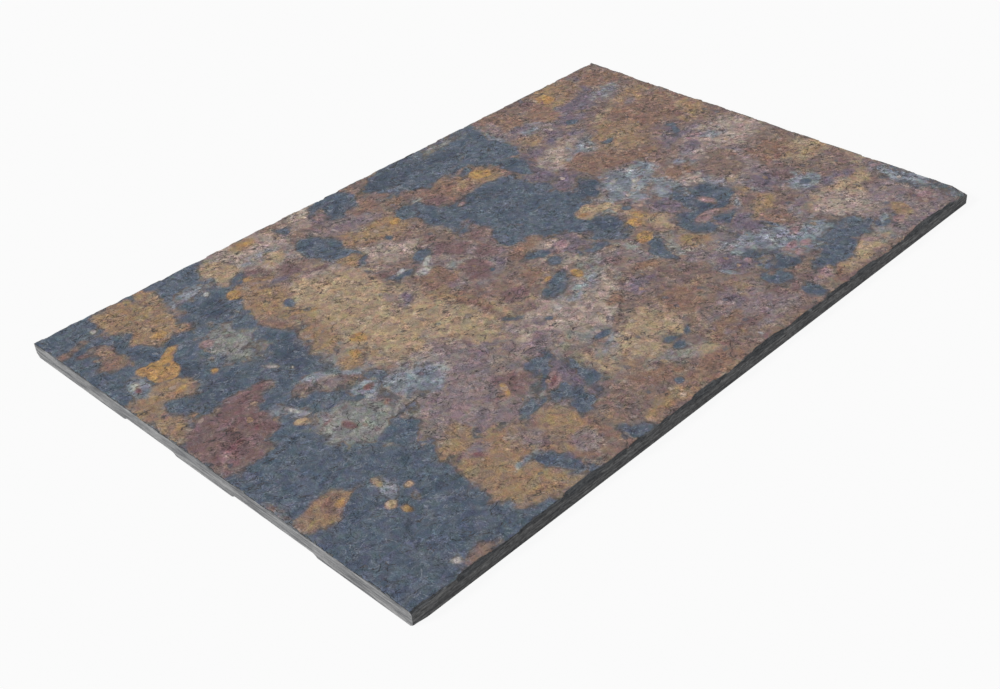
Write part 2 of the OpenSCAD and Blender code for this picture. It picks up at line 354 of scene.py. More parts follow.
# Order in which the stains' fields are written and voted on
STAINS = (
    "slate", "ink", "ash", "sage", "violet", "tan", "sand", "ochre",
    "gold", "rust", "umber", "mauve", "plum", "wine", "rose", "chalk",
)

# Settings

def srgb(red, green, blue):
    """Scene-linear colour of an everyday 0 to 255 colour."""
    channels = []
    for value in (red / 255, green / 255, blue / 255):
        channels.append(value / 12.92 if value <= 0.04045 else ((value + 0.055) / 1.055) ** 2.4)
    return tuple(channels)


def colour_setting(name, description, red, green, blue):
    """A colour that a user may change, given as an everyday 0 to 255 colour."""
    return FloatVectorProperty(
        name=name, description=description, default=srgb(red, green, blue),
        size=3, min=0.0, max=1.0, subtype="COLOR",
    )


def length_setting(name, description, millimetres):
    """A length that a user may change, kept in metres."""
    return FloatProperty(
        name=name, description=description, default=millimetres * MM, min=0.0,
        subtype="DISTANCE", unit="LENGTH", precision=5,
    )


def angle_setting(name, description, degrees):
    """An angle that a user may change, kept in radians."""
    return FloatProperty(
        name=name, description=description, default=math.radians(degrees), subtype="ANGLE", unit="ROTATION",
    )


class SlateStainColours(PropertyGroup):
    """Main and mottling colour of every stain on the cleft face"""

    slate: colour_setting("Slate", "Bare blue-grey slate", 65, 77, 93)
    slate_mottle: colour_setting("Slate mottle", "Paler slate", 87, 96, 109)
    ink: colour_setting("Ink", "Darkest slate", 54, 65, 81)
    ink_mottle: colour_setting("Ink mottle", "Dark slate", 70, 80, 95)
    ash: colour_setting("Ash", "Pale blue-grey bloom", 146, 151, 159)
    ash_mottle: colour_setting("Ash mottle", "Greyer bloom", 106, 112, 122)
    sage: colour_setting("Sage", "Pale grey-green bloom", 142, 141, 136)
    sage_mottle: colour_setting("Sage mottle", "Greyer green bloom", 118, 118, 118)
    violet: colour_setting("Violet", "Violet-grey bloom", 114, 100, 112)
    violet_mottle: colour_setting("Violet mottle", "Darker violet-grey", 94, 86, 101)
    tan: colour_setting("Tan", "Sandy brown stain", 175, 151, 121)
    tan_mottle: colour_setting("Tan mottle", "Dull brown in the tan", 152, 132, 113)
    sand: colour_setting("Sand", "Pinkish pale stain", 176, 157, 146)
    sand_mottle: colour_setting("Sand mottle", "Dull pink in the sand", 141, 126, 120)
    ochre: colour_setting("Ochre", "Mustard stain", 154, 126, 94)
    ochre_mottle: colour_setting("Ochre mottle", "Brown in the ochre", 134, 112, 96)
    gold: colour_setting("Gold", "Bright orange-yellow stain", 182, 142, 88)
    gold_mottle: colour_setting("Gold mottle", "Dull orange in the gold", 150, 117, 84)
    rust: colour_setting("Rust", "Red-brown stain", 136, 107, 90)
    rust_mottle: colour_setting("Rust mottle", "Dark brown in the rust", 120, 95, 86)
    umber: colour_setting("Umber", "Grey-brown stain", 130, 108, 97)
    umber_mottle: colour_setting("Umber mottle", "Darker grey-brown", 110, 93, 91)
    mauve: colour_setting("Mauve", "Purple-grey stain", 138, 121, 119)
    mauve_mottle: colour_setting("Mauve mottle", "Darker purple-grey", 116, 104, 110)
    plum: colour_setting("Plum", "Maroon stain", 103, 80, 82)
    plum_mottle: colour_setting("Plum mottle", "Greyer maroon", 117, 93, 93)
    wine: colour_setting("Wine", "Dark red vein", 116, 76, 80)
    wine_mottle: colour_setting("Wine mottle", "Duller red vein", 102, 72, 78)
    rose: colour_setting("Rose", "Pink spot", 160, 130, 132)
    rose_mottle: colour_setting("Rose mottle", "Duller pink", 142, 114, 119)
    chalk: colour_setting("Chalk", "Off-white spot", 186, 183, 178)
    chalk_mottle: colour_setting("Chalk mottle", "Grey in the chalk", 156, 155, 152)


class SlateStoneSettings(PropertyGroup):
    """Sizes of the stone's skin and its relief, and the colours of its marks, of the painted shade at its small
    steps, and of its edges
    """

    spacing: length_setting("Spacing", "Distance between the skin's points on the face", 1.85)
    rim_spacing: length_setting("Rim spacing", "Distance between points near an arris", 0.8)
    rim_width: length_setting("Rim width", "Width of the closer points along an arris", 6.4)
    edge_rows: IntProperty(name="Edge rows", description="Rows of faces down an edge", default=9, min=4)
    swell_depth: length_setting("Swell depth", "Height of the broad waves of the cleft face", 0.5)
    swell_size: length_setting("Swell size", "Length of the broad waves", 70)
    step_height: length_setting("Step height", "Height of the small cleavage steps", 0.28)
    step_size: length_setting("Step size", "Distance over which the small steps repeat", 38)
    wrinkle_depth: length_setting("Wrinkle depth", "Height of the fine wrinkles", 0.3)
    wrinkle_size: length_setting("Wrinkle size", "Distance between the fine wrinkles", 9)
    crust_depth: length_setting("Crust depth", "How far a stained layer stands over bare slate", 0.18)
    break_depth: length_setting("Break depth", "Roughness of the broken arrises", 0.5)
    saw_depth: length_setting("Saw depth", "Roughness of the sawn edges", 0.12)
    fray_width: length_setting("Fray width", "Width of the crumbled line along an arris", 2.4)
    fray_depth: length_setting("Fray depth", "Depth of the crumbled line along an arris", 0.6)
    grain_bearing: angle_setting("Grain bearing", "Direction of the fine grain from the tile's length", -38)
    step_bearing: angle_setting("Step bearing", "Direction of the small steps from the tile's length", -22)
    # Colour of the real dark rims, rings and pepper, and also of the painted shade at the small step risers and in
    # the dashes
    mark: colour_setting("Marks", "Dark rims, pepper, dashes and small steps", 52, 48, 50)
    scuff: colour_setting("Scuffs", "Pale hair-thin scuffs", 156, 160, 168)
    broken: colour_setting("Broken slate", "Fresh slate in the spalls", 58, 60, 64)
    broken_pale: colour_setting("Broken slate pale", "Dusty layers in the spalls", 108, 110, 112)
    sawn: colour_setting("Sawn slate", "Sawn edge", 76, 77, 80)
    sawn_pale: colour_setting("Sawn slate pale", "Paler layers on the sawn edge", 134, 134, 134)
    bed: colour_setting("Bed", "Gauged underside", 112, 116, 122)
    bed_pale: colour_setting("Bed pale", "Dust in the gauging marks", 138, 141, 143)


class SlateStageSettings(PropertyGroup):
    """Floor, lamps and camera of the studio"""

    floor_size: length_setting("Floor size", "Side of the square floor", 60000)
    floor_colour: colour_setting("Floor", "Pale studio floor", 190, 190, 190)
    floor_whiteness: FloatProperty(
        name="Floor whiteness", description="How far the floor fades into the white backdrop",
        default=0.93, min=0.0, max=1.0, subtype="FACTOR",
    )
    sky_strength: FloatProperty(name="Sky", description="Strength of the soft light all round", default=0.3, min=0.0)
    key_strength: FloatProperty(name="Key", description="Strength of the main soft lamp", default=4.0, min=0.0)
    key_softness: angle_setting("Key softness", "Apparent width of the main lamp", 14)
    key_direction: FloatVectorProperty(
        name="Key direction", description="Direction from the tile to the main lamp",
        default=(-0.80, 0.30, 0.50), size=3, subtype="DIRECTION",
    )
    camera_place: FloatVectorProperty(
        name="Camera", description="Place of the camera", default=(-0.6245, -0.6391, 0.5728),
        size=3, subtype="TRANSLATION", unit="LENGTH",
    )
    camera_bearing: angle_setting("Camera bearing", "Direction of view from the tile's length", 45.21)
    camera_pitch: angle_setting("Camera pitch", "How far the camera looks down", 35.51)
    camera_roll: angle_setting("Camera roll", "How far the camera is turned about its line of sight", 3.31)
    camera_lens: FloatProperty(name="Lens", description="Focal length in millimetres", default=50.25, min=1.0)
    camera_shift: FloatProperty(name="Shift", description="Sideways shift of the frame", default=-0.04)


# Node trees

class Signal:
    """Output of a node. Arithmetic on it adds Math nodes to its tree, or Vector Math for vectors and colours."""

    def __init__(self, socket):
        self.socket, self.tree = socket, socket.id_data
        self.is_vector = socket.type in {"VECTOR", "RGBA"}

    def combine(self, operation, *values):
        """Result of a Math node, or a Vector Math node, on the given values."""
        kind = "ShaderNodeVectorMath" if self.is_vector else "ShaderNodeMath"
        return Signal(add_node(self.tree, kind, dict(enumerate(values)), operation=operation).outputs[0])

    def __add__(self, other):
        return self.combine("ADD", self, other)

    __radd__ = __add__

    def __sub__(self, other):
        return self.combine("SUBTRACT", self, other)

    def __rsub__(self, other):
        return self.combine("SUBTRACT", other, self)

    def __mul__(self, other):
        if self.is_vector and not (isinstance(other, tuple) or getattr(other, "is_vector", False)):
            scaled = add_node(self.tree, "ShaderNodeVectorMath", {0: self, 3: other}, operation="SCALE")
            return Signal(scaled.outputs[0])
        return self.combine("MULTIPLY", self, other)

    def __truediv__(self, other):
        return self.combine("DIVIDE", self, other)

    def __rtruediv__(self, other):
        return self.combine("DIVIDE", other, self)

    def __pow__(self, other):
        return self.combine("POWER", self, other)

    def __neg__(self):
        return self * -1.0

    def __abs__(self):
        return self.combine("ABSOLUTE", self)

    def at_least(self, other):
        """The greater of this and another number."""
        return self.combine("MAXIMUM", self, other)

    def ramp(self, low, high, start=0.0, end=1.0):
        """Smooth step from start, at low, to end, at high."""
        values = {"Value": self, "From Min": low, "From Max": high, "To Min": start, "To Max": end}
        node = add_node(self.tree, "ShaderNodeMapRange", values, interpolation_type="SMOOTHSTEP")
        return Signal(node.outputs["Result"])

    def noise(self, scale, detail=4.0, roughness=0.6, distortion=0.0, colour=False):
        """Noise on this place from 0 to 1, or three of them in a colour."""
        values = {"Vector": self, "Scale": scale, "Detail": detail, "Roughness": roughness, "Distortion": distortion}
        return Signal(add_node(self.tree, "ShaderNodeTexNoise", values).outputs["Color" if colour else 0])

    def split(self):
        """The three numbers of a vector or colour."""
        return [Signal(socket) for socket in add_node(self.tree, "ShaderNodeSeparateXYZ", {0: self}).outputs]


def add_node(tree, kind, values=None, **settings):
    """A new node with the given settings and inputs."""
    node = tree.nodes.new(kind)
    for name, value in settings.items():
        setattr(node, name, value)
    fill(node, values or {})
    return node


def fill(node, values):
    """Links inputs of a node, by name or number, to signals, or sets them to plain values."""
    for key, value in values.items():
        if isinstance(value, Signal):
            node.id_data.links.new(value.socket, node.inputs[key])
        else:
            node.inputs[key].default_value = value


def rgba(colour):
    """A colour as a socket takes it."""
    return colour if isinstance(colour, Signal) else (*colour, 1.0)


def mix(amount, below, above):
    """Colour between two colours."""
    values = {0: amount, 6: rgba(below), 7: rgba(above)}
    return Signal(add_node(amount.tree, "ShaderNodeMix", values, data_type="RGBA").outputs[2])


def new_group(name, kind, inputs, outputs):
    """An empty node group with named sockets: its tree, its inputs as signals and its end node."""
    tree = bpy.data.node_groups.new(name, kind)
    for direction, sockets in (("INPUT", inputs), ("OUTPUT", outputs)):
        for label, socket_type in sockets.items():
            tree.interface.new_socket(label, in_out=direction, socket_type="NodeSocket" + socket_type)
    start, end = add_node(tree, "NodeGroupInput"), add_node(tree, "NodeGroupOutput")
    return tree, {label: Signal(start.outputs[label]) for label in inputs}, end


def use_group(tree, group, **values):
    """Places a node group, feeds its inputs by name and gives its outputs by name."""
    inputs = {name.capitalize(): value for name, value in values.items()}
    node = add_node(tree, "ShaderNodeGroup", inputs, node_tree=group)
    return {socket.name: Signal(socket) for socket in node.outputs}


def empty_tree(owner):
    """Node tree of a new material or world, without its first nodes."""
    owner.use_nodes = True
    owner.node_tree.nodes.clear()
    return owner.node_tree


# Shared stone effects

def along_grain(place, bearing, stretch):
    """A place, flattened, turned to the grain and stretched along it."""
    values = {"Vector": place, "Angle": bearing}
    turned = add_node(place.tree, "ShaderNodeVectorRotate", values, rotation_type="Z_AXIS")
    return Signal(turned.outputs[0]) * (1.0 / stretch, 1.0, 0.0)


def cleavage_steps(grain, scale, softness):
    """Height of the small cleavage steps, counted in steps, and how near a place is to a riser."""
    level = (grain.noise(scale, detail=5.0, roughness=0.58, distortion=0.35) - 0.5) * STEP_COUNT
    tread = level.combine("FLOOR", level)
    part = level - tread
    return tread + part.ramp(0.5 - softness, 0.5 + softness), abs(part - 0.5)


def stone_grain_group():
    """Fine grain of slate on a place in millimetres: a tone, a little darker along the sunken creases as painted
    shade, curly hair-thin scuffs, and a height for bump.
    """
    tree, given, end = new_group(
        "Stone grain", "ShaderNodeTree",
        {"Place": "Vector", "Bearing": "Float"}, {"Tone": "Float", "Scuff": "Float", "Height": "Float"},
    )
    along = along_grain(given["Place"], -given["Bearing"], 1.15)
    swirl = along.noise(0.09, detail=2.0, roughness=0.5, colour=True)
    turned = along + swirl * 7.0
    stroke = turned.noise(0.36, detail=5.0, roughness=0.64, distortion=0.5)
    speck = along.noise(0.95, detail=2.0)
    slow = turned.noise(0.08, distortion=1.0)
    fold = slow.combine("PINGPONG", slow * FOLD_COUNT, 1.0)
    scuff = fold.ramp(0.84, 0.98)
    crease = fold.ramp(0.02, 0.14, 1.0, 0.0)
    patchy = swirl.split()[2].ramp(0.32, 0.68, 0.4, 1.6)
    grainy = (stroke * 0.6 + speck * 0.4 - 0.5) * patchy + 0.5
    # The tone is a little darker along the creases, which also sink in the height: painted shade in the creases
    fill(end, {
        "Tone": (scuff - crease) * 0.03 + grainy, "Scuff": scuff,
        "Height": stroke * 0.8 + speck * 0.15 - crease * 0.12,
    })
    return tree


def broken_slate_group():
    """Colour and height of freshly broken slate: thin layers that show in the spalls."""
    tree, given, end = new_group(
        "Broken slate", "ShaderNodeTree",
        {"Place": "Vector", "Dark": "Color", "Pale": "Color"}, {"Colour": "Color", "Height": "Float"},
    )
    place = given["Place"]
    layers = (place * (0.12, 0.12, 1.5)).noise(1.0, distortion=0.4)
    crumbs = place.noise(0.7, roughness=0.65)
    mixed = layers * 0.65 + crumbs * 0.35
    fill(end, {"Colour": mix(mixed.ramp(0.36, 0.66), given["Dark"], given["Pale"]), "Height": mixed})
    return tree


def stain_vote_group():
    """Weight and weighted colour of one stain, from its field in millimetres and a wandering edge."""
    tree, given, end = new_group(
        "Stain vote", "ShaderNodeTree",
        {
            "Field": "Float", "Wander": "Float", "Reach": "Float", "Sharpness": "Float",
            "Main": "Color", "Mottle": "Color", "Mottling": "Float",
        },
        {"Weight": "Float", "Colour": "Vector"},
    )
    ragged = (given["Wander"] - 0.5) * given["Reach"] + given["Field"]
    weight = ragged.combine("EXPONENT", ragged * given["Sharpness"])
    tone = mix(given["Mottling"], given["Main"], given["Mottle"])
    fill(end, {"Weight": weight, "Colour": tone * weight})
    return tree


# Materials

def place_in_mm(tree):
    """The piece's own place, in millimetres."""
    return Signal(add_node(tree, "ShaderNodeTexCoord").outputs["Object"]) * (1.0 / MM)


def attribute(tree, name):
    """Value of a named attribute of the piece."""
    return Signal(add_node(tree, "ShaderNodeAttribute", attribute_name=name).outputs["Fac"])


def new_material(name):
    """A material with only its shader and output, and the shader."""
    material = bpy.data.materials.new(name)
    tree = empty_tree(material)
    shader = add_node(tree, "ShaderNodeBsdfPrincipled")
    add_node(tree, "ShaderNodeOutputMaterial", {"Surface": Signal(shader.outputs["BSDF"])})
    return material, tree, shader


def bump(height, distance):
    """Normal of a bump, whose height is counted in the given distance in metres."""
    return Signal(add_node(height.tree, "ShaderNodeBump", {"Distance": distance, "Height": height}).outputs["Normal"])


def fresh_slate(place, broken, stone):
    """Colour and height of broken slate in the stone's own colours."""
    return use_group(place.tree, broken, place=place, dark=rgba(stone.broken), pale=rgba(stone.broken_pale))


def stained_face(place, votes, colours, mottling):
    """Colour of the cleft face, where every stain votes with its field, and the share that bare slate has in it."""
    tree, wanders, weights, tones = place.tree, [], {}, []
    for index in range(math.ceil(len(STAINS) / 3)):
        shifted = place + (37.0 * index, 91.0, 53.0 * index)
        wanders += shifted.noise(EDGE_SCALE, detail=2.0, roughness=0.5, distortion=0.6, colour=True).split()
    for stain, wander in zip(STAINS, wanders):
        vote = use_group(
            tree, votes, field=attribute(tree, "stain_" + stain), wander=wander, reach=EDGE_REACH,
            sharpness=EDGE_SHARPNESS, main=rgba(getattr(colours, stain)),
            mottle=rgba(getattr(colours, stain + "_mottle")), mottling=mottling,
        )
        weights[stain] = vote["Weight"]
        tones.append(vote["Colour"])
    share = 1.0 / sum(weights.values())
    return sum(tones, (0.0, 0.0, 0.0)) * share, (weights["slate"] + weights["ink"]) * share


def flecks(place):
    """Small uneven spots scattered over a face: their mask, the thin rim round them, and a random number for each."""
    moved = place + place.noise(0.25, detail=2.0, colour=True) * 5.0
    values = {"Vector": moved, "Scale": FLECK_SCALE}
    cells = add_node(place.tree, "ShaderNodeTexVoronoi", values, voronoi_dimensions="2D", feature="F1")
    chance, size, hue = Signal(cells.outputs["Color"]).split()
    depth = size.ramp(0.0, 1.0, 0.06, 0.24) - Signal(cells.outputs["Distance"])
    present = chance.ramp(0.52, 0.56)
    return depth.ramp(-0.01, 0.05) * present, abs(depth).ramp(0.0, 0.05, 1.0, 0.0) * present, hue


def riven_material(grain, broken, votes, stone, colours):
    """The cleft face: stains over slate, fine grain, dark rims and lines, partly painted shade at the small steps and
    dashes, and pale scuffs, with fresh slate in the breaks.
    """
    material, tree, shader = new_material("riven_face")
    place = place_in_mm(tree)
    fine = use_group(tree, grain, place=place, bearing=stone.grain_bearing)
    cloud = place.noise(0.1, detail=5.0, roughness=0.56, distortion=0.8, colour=True)
    mottling, dark_places, pale_places = cloud.split()

    # Stains, with a thin mustard halo where they end on bare slate, and slowly changing hues
    stained, bare = stained_face(place, votes, colours, mottling.ramp(0.36, 0.64))
    stained_part = 1.0 - bare
    hues = place.noise(0.16, detail=2.0, roughness=0.5, distortion=0.8, colour=True)
    rim = bare * (4.0 - bare * 4.0)
    halo = rim.ramp(0.6, 1.0) * pale_places.ramp(0.46, 0.6, 0.0, 0.35)
    tinted = mix(halo, stained, colours.ochre) * (hues * 0.5 + (0.75, 0.75, 0.75))

    # Small spots of other stains, paler or darker than their ground
    core, ring, hue = flecks(place)
    warm = mix(hue.ramp(0.3, 0.4), colours.plum, colours.ochre)
    cold = mix(hue.ramp(0.8, 0.9), colours.sand, colours.slate)
    spot = mix(hue.ramp(0.55, 0.65), warm, cold)
    spotted = mix(core * stained_part.ramp(0.4, 0.9, 0.0, 0.55), tinted, spot)

    # Grain and hatching, strong in rough places, weaker on bare slate and on yellow stains
    right, back, _ = place.split()
    rough_places = place.noise(0.035, detail=3.0) + (right * ROUGHER_RIGHT + back * ROUGHER_BACK)
    _, green, blue = spotted.split()
    smooth = (green - blue).ramp(0.03, 0.1, 1.0, 0.8)
    contrast = rough_places.ramp(0.32, 0.68, *GRAIN_CONTRAST) * (1.0 - bare * 0.1) * smooth
    hatch = along_grain(place, -stone.step_bearing, 5.0).noise(0.55, detail=2.0, distortion=0.4)
    # The grain's tone brings its painted shade in the creases into the face's colour
    tone = fine["Tone"] - 0.5 + (hatch - 0.5) * rough_places.ramp(0.45, 0.65, 0.0, 0.3)
    sparse = tone.combine("SIGN", tone) * abs(tone) ** GRAIN_POWER
    grained = spotted * (sparse * contrast + 1.0).at_least(GRAIN_DARKEST)

    # Dark rims where a stain ends on bare slate and round the spots, and pepper in the stains, with painted shade
    # along the risers of the small steps and in the dash grooves
    dark = rim.ramp(0.5, 1.0) * dark_places.ramp(0.4, 0.56, 0.0, 0.55)
    rings = ring * stained_part * dark_places.ramp(0.4, 0.56, 0.0, 0.4)
    dusted = stained_part * rough_places.ramp(0.4, 0.6, 0.35, 1.0)
    pepper = place.noise(0.75, detail=2.0).ramp(0.58, 0.68) * dusted * pale_places.ramp(0.38, 0.56, 0.0, 0.65)
    steps, nearness = cleavage_steps(along_grain(place, -stone.step_bearing, 2.0), MM / stone.step_size, 0.06)
    # Painted shade: a dark line along the risers of the small cleavage steps, in some places
    riser_shade = nearness.ramp(0.015, 0.06, 1.0, 0.0) * dark_places.ramp(0.44, 0.56, 0.0, 0.85)
    # Painted shade: dark dashes along the step bearing, which also sink as grooves in the bump height
    thin = along_grain(place, -stone.step_bearing, 4.0)
    dash = thin.noise(0.3, detail=2.0, roughness=0.5, distortion=0.6).ramp(0.66, 0.72)
    for mask in (rings, pepper, riser_shade, dash * rough_places.ramp(0.44, 0.6, 0.0, 0.75)):
        dark = dark.at_least(mask)
    # Rims, rings and pepper are real marks; the riser and dash lines are painted shade
    shaded = mix(dark, grained, stone.mark)

    # Pale hair-thin scuffs, most of them on bare slate
    scuff = fine["Scuff"] * (bare * 0.6 + 0.4) * pale_places.ramp(0.42, 0.58, 0.0, 0.5)
    scuffed = mix(scuff, shaded, stone.scuff)

    # Fresh slate in the breaks, and the relief that is too fine for the skin
    fresh = fresh_slate(place, broken, stone)
    spalled = attribute(tree, "spall").at_least(attribute(tree, "fray")).ramp(*SPALL_EDGE)
    height = steps * (stone.step_height / MM) + fine["Height"] - dash * 0.2 + fresh["Height"] * spalled
    fill(shader, {
        "Base Color": mix(spalled, scuffed, fresh["Colour"]), "Roughness": fine["Tone"].ramp(0.3, 0.7, 0.75, 0.52),
        "Specular IOR Level": 0.35, "Normal": bump(height, 1.0 * MM),
    })
    return material


def sawn_material(broken, stone):
    """The sawn edges: thin layers of slate in lines along the edge, coarser in front, broken at the spalls."""
    material, tree, shader = new_material("sawn_edge")
    place = place_in_mm(tree)
    layers = (place * (0.03, 0.03, 0.55)).noise(1.0, detail=5.0, roughness=0.68, distortion=0.3)
    sawn = mix(layers.ramp(0.34, 0.66), stone.sawn, stone.sawn_pale)
    pits = (place * (0.22, 0.22, 0.6)).noise(1.0, roughness=0.68, distortion=0.3)
    front = TILE_LOW.y / MM
    coarse = place.split()[1].ramp(front + 1.0, front + 3.0, 3.4, 1.0)
    grained = sawn * ((pits - 0.5) * coarse + 1.0)
    fresh = fresh_slate(place, broken, stone)
    spalled = attribute(tree, "spall").ramp(*SPALL_EDGE)
    fill(shader, {
        "Base Color": mix(spalled, grained, fresh["Colour"]), "Roughness": 0.75,
        "Specular IOR Level": 0.3, "Normal": bump(layers + pits, 0.35 * MM),
    })
    return material


def bed_material(grain, stone):
    """The gauged underside: parallel grinding marks with dust in them."""
    material, tree, shader = new_material("gauged_bed")
    place = place_in_mm(tree)
    fine = use_group(tree, grain, place=place, bearing=0.0)
    marks = (place * (0.006, 0.55, 1.0)).noise(1.0, roughness=0.7)
    cloud = place.noise(0.012, detail=5.0)
    base = mix((marks * 0.5 + cloud * 0.5).ramp(0.38, 0.62), stone.bed, stone.bed_pale)
    # The grain's tone, with its painted shade in the creases, varies the bed's colour
    fill(shader, {
        "Base Color": base * fine["Tone"].ramp(0.3, 0.7, 0.9, 1.1), "Roughness": 0.8,
        "Specular IOR Level": 0.3, "Normal": bump(marks + fine["Height"] * 0.3, 0.2 * MM),
    })
    return material


# The stone's skin

def graded_lines(half, stone):
    """Places of the skin's lines from one side of the tile to the other, closer along the arrises."""
    rim_count = round(stone.rim_width / stone.rim_spacing)
    rim = np.arange(rim_count) * stone.rim_spacing
    inner_half = half - rim_count * stone.rim_spacing
    inner_count = math.ceil(2 * inner_half / stone.spacing)
    inner = np.linspace(-inner_half, inner_half, inner_count + 1)
    return np.concatenate([-half + rim, inner, half - rim[::-1]])


def skin_mesh(stone):
    """A closed skin around the uncut slab: a close grid above, graded rows down the edges, one bed face."""
    half_x, half_y, top = TILE_HIGH.x, TILE_HIGH.y, TILE_HIGH.z
    xs, ys = graded_lines(half_x, stone), graded_lines(half_y, stone)
    grid_x, grid_y = np.meshgrid(xs, ys)
    points = [np.stack([grid_x.ravel(), grid_y.ravel(), np.full(grid_x.size, top)], 1)]
    index = np.arange(grid_x.size).reshape(grid_x.shape)
    corners = (index[:-1, :-1], index[:-1, 1:], index[1:, 1:], index[1:, :-1])
    faces = np.stack(corners, -1).reshape(-1, 4).tolist()
    parts = [RIVEN] * len(faces)
    ring = np.concatenate([index[0, :], index[1:, -1], index[-1, -2::-1], index[-2:0:-1, 0]])
    outline = points[0][ring]

    def add_ring(upper, shrink, height, part):
        lower = sum(len(block) for block in points) + np.arange(len(outline))
        block = outline * (1 - shrink / half_x, 1 - shrink / half_y, 0.0)
        block[:, 2] = height
        points.append(block)
        quads = np.stack([upper, lower, np.roll(lower, -1), np.roll(upper, -1)], -1)
        faces.extend(quads.tolist())
        parts.extend([part] * len(quads))
        return lower

    for row in range(1, stone.edge_rows + 1):
        height = top * (0.5 + 0.5 * math.cos(math.pi * row / stone.edge_rows))
        ring = add_ring(ring, 0.0, height, SAWN)
    for row in range(1, BED_RINGS + 1):
        ring = add_ring(ring, row * row * BED_RING_INSET, 0.0, BED)
    faces.append(ring[::-1].tolist())
    parts.append(BED)
    mesh = bpy.data.meshes.new(PIECE)
    mesh.from_pydata(np.concatenate(points).tolist(), [], faces)
    mesh.attributes.new("part", "INT", "FACE").data.foreach_set("value", parts)
    return mesh


def plane_noise(x, y, seed):
    """Smooth noise from -1 to 1 on a plane, the same in every run."""
    by_column, by_row, by_seed, spread = HASH
    column, row = np.floor(x), np.floor(y)
    across, up = x - column, y - row
    across, up = across * across * (3 - 2 * across), up * up * (3 - 2 * up)

    def corner(right, above):
        value = np.sin((column + right) * by_column + (row + above) * by_row + seed * by_seed) * spread
        return 2 * (value - np.floor(value)) - 1

    low = corner(0, 0) * (1 - across) + corner(1, 0) * across
    high = corner(0, 1) * (1 - across) + corner(1, 1) * across
    return low * (1 - up) + high * up


def wandered(points):
    """Places in millimetres, pushed about so that ovals drawn on them come out as uneven patches."""
    x, y = points[:, 0], points[:, 1]
    moved = []
    for axis, seed in ((x, 1), (y, 5)):
        for layer, (size, push) in enumerate(WANDERING):
            axis = axis + push * plane_noise(x / size, y / size, seed + layer)
        moved.append(axis)
    return np.stack(moved, 1)


def anchored(x, y, half_length, half_breadth, wander):
    """Centre to draw an oval at, so that the wandering brings its stain to the given place."""
    turns = np.linspace(0, 2 * math.pi, 12, endpoint=False)
    ring = np.stack([x + 0.6 * half_length * np.cos(turns), y + 0.6 * half_breadth * np.sin(turns)], 1)
    return (x, y) + wander * np.mean(wandered(ring) - ring, axis=0)


def stain_fields(points):
    """How far inside every stain, and inside clean stone, each place lies, in millimetres."""
    flat, pushed = points[:, :2], wandered(points)
    clean = np.full(len(flat), SCARCE_REACH)
    fields = {stain: np.full(len(flat), -SCARCE_REACH) for stain in STAINS}
    fields["slate"][:] = SCARCE_REACH
    for layer, wander, growth, held in LAYERS:
        place = flat + wander * (pushed - flat)
        for stain, ovals in layer:
            rate = growth * SOFT.get(stain, 1.0)
            for x, y, half_length, half_breadth, *turn in ovals:
                if held:
                    x, y = anchored(x, y, half_length, half_breadth, wander)
                angle = math.radians(turn[0] if turn else 0)
                across, up = place[:, 0] - x, place[:, 1] - y
                along = (across * math.cos(angle) + up * math.sin(angle)) / half_length
                aside = (up * math.cos(angle) - across * math.sin(angle)) / half_breadth
                inside = (1 - np.hypot(along, aside)) * min(half_length, half_breadth) * rate
                clean = np.maximum(clean, inside) if stain in CLEAN else np.minimum(clean, -inside)
                for name, field in fields.items():
                    if name == stain:
                        np.maximum(field, inside, out=field)
                    else:
                        np.minimum(field, -inside, out=field)
    earthy_reach = EARTHY_REACH + np.clip(clean, 0, INNER_REACH)
    limited = {}
    for stain, field in fields.items():
        outer = BARE_REACH if stain in BARE else SCARCE_REACH if stain in SCARCE else earthy_reach
        limited[stain] = np.clip(field, -outer, INNER_REACH)
    return limited, clean


def write_stains(mesh):
    """Writes the stains' fields, the crust that a stained layer makes and the distance to the rim onto a mesh."""
    places = np.empty(len(mesh.vertices) * 3)
    mesh.vertices.foreach_get("co", places)
    places = places.reshape(-1, 3)
    fields, clean = stain_fields(places / MM)
    values = {"stain_" + stain: field for stain, field in fields.items()}
    values["crust"] = np.clip(0.5 - clean / CRUST_WIDTH, 0, 1)
    values["rim"] = np.minimum(TILE_HIGH.x - np.abs(places[:, 0]), TILE_HIGH.y - np.abs(places[:, 1]))
    for name, numbers in values.items():
        mesh.attributes.new(name, "FLOAT", "POINT").data.foreach_set("value", numbers)


SKIN_INPUTS = (
    "swell_depth", "swell_size", "step_height", "step_size", "wrinkle_depth", "wrinkle_size",
    "crust_depth", "break_depth", "saw_depth", "fray_width", "fray_depth", "grain_bearing", "step_bearing",
)


